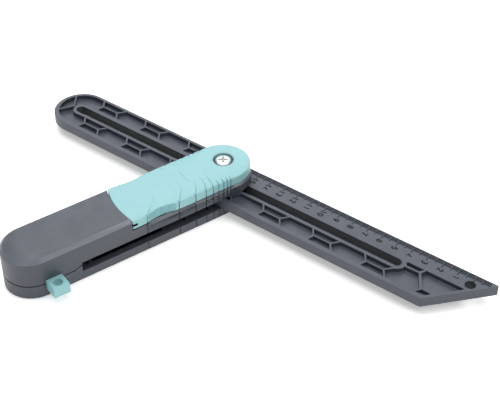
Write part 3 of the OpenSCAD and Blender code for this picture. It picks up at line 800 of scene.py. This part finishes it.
def plastic(name, colour, deep, pale, rough, grain=0.12, grain_scale=2400.0, scuffs=0.25, specular=0.5):
    """Moulded plastic: mottled pigment, fine spark-eroded grain, faint handling scuffs and uneven gloss."""
    m, t, b = shader(name)
    where = node(t, "ShaderNodeTexCoord").outputs["Object"]
    flow = noise(t, where, 38.0, 3.0, 0.55)
    speck = noise(t, where, 950.0, 2.0, 0.6)
    tone = blend_colour(t, spread(t, flow, 0.32, 0.68, 0.0, 1.0), deep, colour)
    tone = blend_colour(t, spread(t, speck, 0.52, 0.75, 0.0, 0.35), tone, pale)
    scratch_a = noise(t, where, 210.0, 2.0, 0.4, (0.35, 9.0, 3.0))
    scratch_b = noise(t, where, 260.0, 2.0, 0.4, (8.0, 0.45, 3.0))
    worn = node(t, "ShaderNodeMath", {0: scratch_a, 1: scratch_b}, operation="MAXIMUM").outputs[0]
    worn = spread(t, worn, 0.66, 0.78, 0.0, scuffs)
    tone = blend_colour(t, worn, tone, pale)
    t.links.new(tone, b.inputs["Base Color"])
    gloss = noise(t, where, 120.0, 3.0, 0.6)
    t.links.new(spread(t, gloss, 0.3, 0.7, rough - 0.06, rough + 0.07), b.inputs["Roughness"])
    fine = noise(t, where, grain_scale, 3.0, 0.6)
    bump = node(t, "ShaderNodeBump", {"Height": fine, "Strength": grain, "Distance": 0.0003})
    t.links.new(bump.outputs[0], b.inputs["Normal"])
    b.inputs["Specular IOR Level"].default_value = specular
    return m


def metal(name, colour, rough, turned=0.0, tarnish=(0.35, 0.34, 0.32)):
    """Plated steel with cloudy tarnish, and turning marks round the pivot where asked."""
    m, t, b = shader(name)
    where = node(t, "ShaderNodeTexCoord").outputs["Object"]
    cloud = noise(t, where, 420.0, 4.0, 0.6)
    tone = blend_colour(t, spread(t, cloud, 0.5, 0.8, 0.0, 0.6), colour, tarnish)
    t.links.new(tone, b.inputs["Base Color"])
    t.links.new(spread(t, cloud, 0.3, 0.7, rough - 0.05, rough + 0.12), b.inputs["Roughness"])
    b.inputs["Metallic"].default_value = 1.0
    height = noise(t, where, 3000.0, 2.0, 0.5)
    if turned:
        rings = node(t, "ShaderNodeTexWave",
                     {"Vector": where, "Scale": 900.0, "Distortion": 0.6, "Detail": 1.0},
                     wave_type="RINGS", rings_direction="Z").outputs["Fac"]
        height = node(t, "ShaderNodeMath", {0: height, 1: rings}, operation="ADD").outputs[0]
    bump = node(t, "ShaderNodeBump", {"Height": height, "Strength": 0.08 + turned, "Distance": 0.0001})
    t.links.new(bump.outputs[0], b.inputs["Normal"])
    return m


# Each plastic has its colour, a deeper and a paler tone of it, and its roughness.
shell_mat = plastic("shell_plastic", (0.057, 0.066, 0.083), (0.051, 0.059, 0.075), (0.10, 0.112, 0.135), 0.42)
shell_edge = plastic("shell_edge", (0.080, 0.090, 0.112), (0.068, 0.077, 0.096), (0.16, 0.175, 0.20), 0.40,
                     scuffs=0.45)
# Paler, glossier plastic on the shells' slanted faces: a painted highlight.
slope_highlight = plastic("slope_highlight", (0.140, 0.152, 0.182), (0.130, 0.142, 0.170), (0.18, 0.19, 0.215), 0.36,
                      scuffs=0.35)
blade_mat = plastic("blade_plastic", (0.052, 0.062, 0.082), (0.046, 0.054, 0.072), (0.090, 0.102, 0.128),
                    0.45, grain=0.10)
# Darker plastic that paints shade on the blade's slot and hole walls and on the slot's ledge.
wall_shade_mat = plastic("blade_wall_shade", (0.024, 0.028, 0.034), (0.020, 0.024, 0.030), (0.045, 0.050, 0.058), 0.6,
                   grain=0.10)
# Near-black dull plastic: it darkens the recessed marks, and paints shade in the lever's end groove.
marks_and_groove_shade_mat = plastic("dark_marks_groove_shade", (0.020, 0.022, 0.026), (0.016, 0.018, 0.022), (0.035, 0.038, 0.044), 0.85,
                  specular=0.08)
teal_mat = plastic("teal_plastic", (0.264, 0.506, 0.530), (0.252, 0.490, 0.514), (0.31, 0.565, 0.585), 0.44,
                   grain=0.08, scuffs=0.18)
ring_mat = plastic("ring_plastic", (0.80, 0.79, 0.74), (0.74, 0.73, 0.68), (0.88, 0.87, 0.83), 0.45)
disc_mat = plastic("friction_fibre", (0.05, 0.05, 0.055), (0.03, 0.03, 0.034), (0.12, 0.12, 0.12), 0.82,
                   grain=0.5, grain_scale=1500.0)
steel_mat = metal("plated_steel", (0.78, 0.78, 0.76), 0.3)
head_mat = metal("turned_steel", (0.52, 0.55, 0.555), 0.36, turned=0.05)
# Grey, non-metal plastic that paints shade in the cross recess of the screw head.
recess_shade_mat = plastic("screw_recess_shade", (0.40, 0.41, 0.41), (0.36, 0.37, 0.37), (0.5, 0.5, 0.5), 0.5)
# Near-black steel for the washer, which paints the shade in the recess round the screw head.
washer_shade_mat = metal("washer_steel_shade", (0.05, 0.055, 0.06), 0.45, tarnish=(0.09, 0.09, 0.09))


def dress(ob, *mats):
    """Swap in these materials. Clearing resets the faces' indices, so a mesh without any skips it."""
    if len(ob.data.materials):
        ob.data.materials.clear()
    for m in mats:
        ob.data.materials.append(m)
    return ob


def keep(ob, body, slot, *replaced):
    """The piece rides on that body and stands in for those CAD nodes."""
    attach(ob, body)
    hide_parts(*replaced)


# ---------------------------------------------------------------- the pieces
# The blade's third material paints shade on the walls of its slot and hole.
blade = dress(make_blade(), blade_mat, marks_and_groove_shade_mat, wall_shade_mat)
keep(blade, "rule", "blade_plastic", "blade")
# The lever's second material paints shade in the groove of its curved end.
lever = dress(make_lever(), teal_mat, marks_and_groove_shade_mat)
keep(lever, "lever", "teal_plastic", "clamp_lever")
# The cross recess takes the grey second material: painted shade.
screw = dress(make_screw(), head_mat, recess_shade_mat)
keep(screw, "handle", "steel", "pivot_screw")
# On the shells the third material is the slanted faces' painted highlight.
for cad_name, name, width in (("upper_shell", "shell_top", 0.35), ("lower_shell", "shell_base", 0.3)):
    shell = dress(eased_copy(cad_name, name, width, wear_and_highlight=1), shell_mat, shell_edge, slope_highlight)
    true_rounds(shell)
    keep(shell, "handle", "shell_plastic", cad_name)
lug = dress(eased_copy("lug", "pull_lug", 0.35), teal_mat)
keep(lug, "pull_out", "teal_plastic", "lug")
# The washer's near-black steel paints the shade round the screw head.
for name, mat in (("ramp_ring", ring_mat), ("screw_washer", washer_shade_mat), ("clamp_nut", steel_mat),
                  ("slot_guide", steel_mat), ("upper_disc", disc_mat), ("lower_disc", disc_mat),
                  ("lug_spring", steel_mat), ("shell_screws", steel_mat)):
    dress(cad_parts[name], mat)


# ---------------------------------------------------------------- floor, light and world
AIM = Vector((-0.03, -0.02, 0.01))


def area(name, where, size, power, colour=(1, 1, 1)):
    """Square soft light at that place, aimed at the object."""
    light = bpy.data.lights.new(name, "AREA")
    light.shape = "SQUARE"
    light.size = size
    light.energy = power
    light.color = colour
    ob = bpy.data.objects.new(name, light)
    ob.location = where
    ob.rotation_euler = (AIM - Vector(where)).to_track_quat("-Z", "Y").to_euler()
    scene.collection.objects.link(ob)


area("back", (0.55, 0.78, 0.88), 1.3, 10.8, colour=(0.97, 1.0, 1.05))
area("overhead", (-0.06, 0.05, 1.4), 1.2, 15.0)
area("front", (0.54, -0.91, 0.72), 0.5, 4.2, colour=(1.0, 1.0, 0.95))
area("left", (-0.82, -0.56, 0.95), 0.8, 1.6)
world = bpy.data.worlds.new("studio")
world.use_nodes = True
sky = world.node_tree.nodes["Background"]
sky.inputs[0].default_value = (1, 1, 1, 1)
sky.inputs[1].default_value = 0.2
scene.world = world
scene.view_settings.view_transform = "Standard"

floor_mesh = bpy.data.meshes.new("floor")
REACH = 3.0
corners = [(-REACH, -REACH, 0), (REACH, -REACH, 0), (REACH, REACH, 0), (-REACH, REACH, 0)]
floor_mesh.from_pydata(corners, [], [(0, 1, 2, 3)])
floor_obj = bpy.data.objects.new("floor", floor_mesh)
scene.collection.objects.link(floor_obj)
floor_mat, ft, fb = shader("pale_floor")
fw = node(ft, "ShaderNodeTexCoord").outputs["Object"]
floor_tone = blend_colour(ft, noise(ft, fw, 3.0), (0.94, 0.94, 0.94), (0.965, 0.965, 0.965))
ft.links.new(floor_tone, fb.inputs["Base Color"])
fb.inputs["Roughness"].default_value = 0.9
fb.inputs["Specular IOR Level"].default_value = 0.1
# A weak glow keeps the floor white.
fb.inputs["Emission Color"].default_value = (1, 1, 1, 1)
fb.inputs["Emission Strength"].default_value = 0.35
floor_mesh.materials.append(floor_mat)
